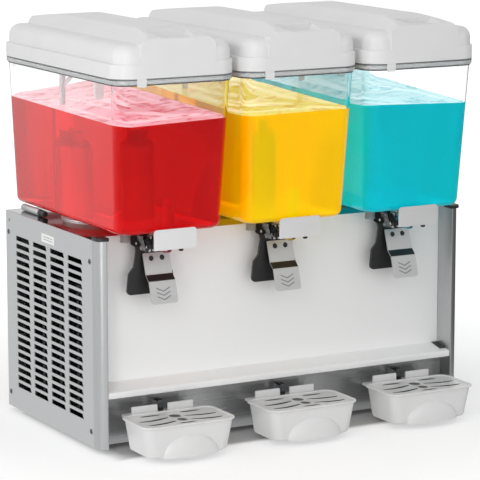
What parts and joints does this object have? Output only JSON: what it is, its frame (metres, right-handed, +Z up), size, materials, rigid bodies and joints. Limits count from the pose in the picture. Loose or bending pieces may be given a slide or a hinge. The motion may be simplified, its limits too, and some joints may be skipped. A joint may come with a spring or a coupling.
{
  "type": "juice dispenser",
  "caption": "Chilled countertop juice dispenser: clear lidded tanks with push-lever taps over pull-out drip trays, on a louvred steel cabinet.",
  "frame": {"origin": "middle of the footprint at counter level", "axes": "+X to the right seen from the front, -Y towards the user, +Z up"},
  "size_m": [0.632, 0.453, 0.628],
  "materials": {
    "brushed_steel": "brushed",
    "satin_steel": "satin",
    "mirror_steel": "polished",
    "zinc_steel": "galvanised",
    "clear_plastic": "clear",
    "white_plastic": "satin",
    "grey_plastic": "satin",
    "black_plastic": "satin",
    "black_paint": "satin",
    "seal_rubber": "matt"
  },
  "bodies": {
    "cabinet": {"side_panel_right": "satin_steel", "side_panel_left": "satin_steel", "pillar_right": "satin_steel", "pillar_left": "satin_steel", "back_panel": "satin_steel", "pillar_cap_right": "black_plastic", "pillar_cap_left": "black_plastic", "foot_front_left": "black_plastic", "foot_front_right": "black_plastic", "foot_rear_left": "black_plastic", "foot_rear_right": "black_plastic", "inlet_housing": "black_plastic", "drain_cap": "black_plastic", "front_panel": "brushed_steel", "drain_tube": "brushed_steel", "lower_panel": "mirror_steel", "top_deck": "mirror_steel", "base_pan": "zinc_steel", "fan_shroud": "zinc_steel", "fan_motor": "zinc_steel", "compressor": "black_paint", "condenser": "black_paint", "cold_drum_1": "brushed_steel", "cold_drum_2": "brushed_steel", "cold_drum_3": "brushed_steel", "seal_ring_1": "seal_rubber", "seal_ring_2": "seal_rubber", "seal_ring_3": "seal_rubber"},
    "tank_unit_1": {"tank_1": "clear_plastic", "spray_tube_1": "clear_plastic", "spout_body_1": "clear_plastic", "spout_cover_1": "brushed_steel"},
    "lid_unit_1": {"lid_1": "white_plastic"},
    "lever_unit_1": {"lever_1": "black_plastic", "push_plate_1": "brushed_steel"},
    "tray_unit_1": {"drip_tray_1": "white_plastic"},
    "grid_unit_1": {"tray_grid_1": "grey_plastic"},
    "impeller_unit_1": {"impeller_1": "white_plastic"},
    "tank_unit_2": {"tank_2": "clear_plastic", "spray_tube_2": "clear_plastic", "spout_body_2": "clear_plastic", "spout_cover_2": "brushed_steel"},
    "lid_unit_2": {"lid_2": "white_plastic"},
    "lever_unit_2": {"lever_2": "black_plastic", "push_plate_2": "brushed_steel"},
    "tray_unit_2": {"drip_tray_2": "white_plastic"},
    "grid_unit_2": {"tray_grid_2": "grey_plastic"},
    "impeller_unit_2": {"impeller_2": "white_plastic"},
    "tank_unit_3": {"tank_3": "clear_plastic", "spray_tube_3": "clear_plastic", "spout_body_3": "clear_plastic", "spout_cover_3": "brushed_steel"},
    "lid_unit_3": {"lid_3": "white_plastic"},
    "lever_unit_3": {"lever_3": "black_plastic", "push_plate_3": "brushed_steel"},
    "tray_unit_3": {"drip_tray_3": "white_plastic"},
    "grid_unit_3": {"tray_grid_3": "grey_plastic"},
    "impeller_unit_3": {"impeller_3": "white_plastic"},
    "fan_unit": {"condenser_fan": "black_plastic"},
    "rocker_unit": {"rocker_switch": "black_plastic"}
  },
  "joints": [
    {"name": "tank_lift_1", "type": "slide", "parent": "cabinet", "child": "tank_unit_1", "axis": [0, 0, 1], "range_m": [0, 0.15]},
    {"name": "lid_lift_1", "type": "slide", "parent": "tank_unit_1", "child": "lid_unit_1", "axis": [0, 0, 1], "range_m": [0, 0.08]},
    {"name": "lever_push_1", "type": "hinge", "parent": "tank_unit_1", "child": "lever_unit_1", "pos_m": [-0.222, -0.1125, 0.314], "axis": [1, 0, 0], "range_deg": [0, 12], "stiffness_Nm_per_rad": 0.6, "springref_deg": -8.59},
    {"name": "tray_pull_1", "type": "slide", "parent": "cabinet", "child": "tray_unit_1", "axis": [0, -1, 0], "range_m": [0, 0.14]},
    {"name": "grid_lift_1", "type": "slide", "parent": "tray_unit_1", "child": "grid_unit_1", "axis": [0, 0, 1], "range_m": [0, 0.05]},
    {"name": "impeller_spin_1", "type": "hinge", "parent": "cabinet", "child": "impeller_unit_1", "pos_m": [-0.21, 0.0715, 0.44], "axis": [0, 0, 1], "continuous": true},
    {"name": "tank_lift_2", "type": "slide", "parent": "cabinet", "child": "tank_unit_2", "axis": [0, 0, 1], "range_m": [0, 0.15]},
    {"name": "lid_lift_2", "type": "slide", "parent": "tank_unit_2", "child": "lid_unit_2", "axis": [0, 0, 1], "range_m": [0, 0.08]},
    {"name": "lever_push_2", "type": "hinge", "parent": "tank_unit_2", "child": "lever_unit_2", "pos_m": [-0.012, -0.1125, 0.314], "axis": [1, 0, 0], "range_deg": [0, 12], "stiffness_Nm_per_rad": 0.6, "springref_deg": -8.59},
    {"name": "tray_pull_2", "type": "slide", "parent": "cabinet", "child": "tray_unit_2", "axis": [0, -1, 0], "range_m": [0, 0.14]},
    {"name": "grid_lift_2", "type": "slide", "parent": "tray_unit_2", "child": "grid_unit_2", "axis": [0, 0, 1], "range_m": [0, 0.05]},
    {"name": "impeller_spin_2", "type": "hinge", "parent": "cabinet", "child": "impeller_unit_2", "pos_m": [0, 0.0715, 0.44], "axis": [0, 0, 1], "continuous": true},
    {"name": "tank_lift_3", "type": "slide", "parent": "cabinet", "child": "tank_unit_3", "axis": [0, 0, 1], "range_m": [0, 0.15]},
    {"name": "lid_lift_3", "type": "slide", "parent": "tank_unit_3", "child": "lid_unit_3", "axis": [0, 0, 1], "range_m": [0, 0.08]},
    {"name": "lever_push_3", "type": "hinge", "parent": "tank_unit_3", "child": "lever_unit_3", "pos_m": [0.198, -0.1125, 0.314], "axis": [1, 0, 0], "range_deg": [0, 12], "stiffness_Nm_per_rad": 0.6, "springref_deg": -8.59},
    {"name": "tray_pull_3", "type": "slide", "parent": "cabinet", "child": "tray_unit_3", "axis": [0, -1, 0], "range_m": [0, 0.14]},
    {"name": "grid_lift_3", "type": "slide", "parent": "tray_unit_3", "child": "grid_unit_3", "axis": [0, 0, 1], "range_m": [0, 0.05]},
    {"name": "impeller_spin_3", "type": "hinge", "parent": "cabinet", "child": "impeller_unit_3", "pos_m": [0.21, 0.0715, 0.44], "axis": [0, 0, 1], "continuous": true},
    {"name": "fan_spin", "type": "hinge", "parent": "cabinet", "child": "fan_unit", "pos_m": [-0.2467, 0.0515, 0.1239], "axis": [1, 0, 0], "continuous": true},
    {"name": "rocker_rock", "type": "hinge", "parent": "cabinet", "child": "rocker_unit", "pos_m": [0.235, 0.2003, 0.074], "axis": [-1, 0, 0], "range_deg": [0, 10]}
  ]
}
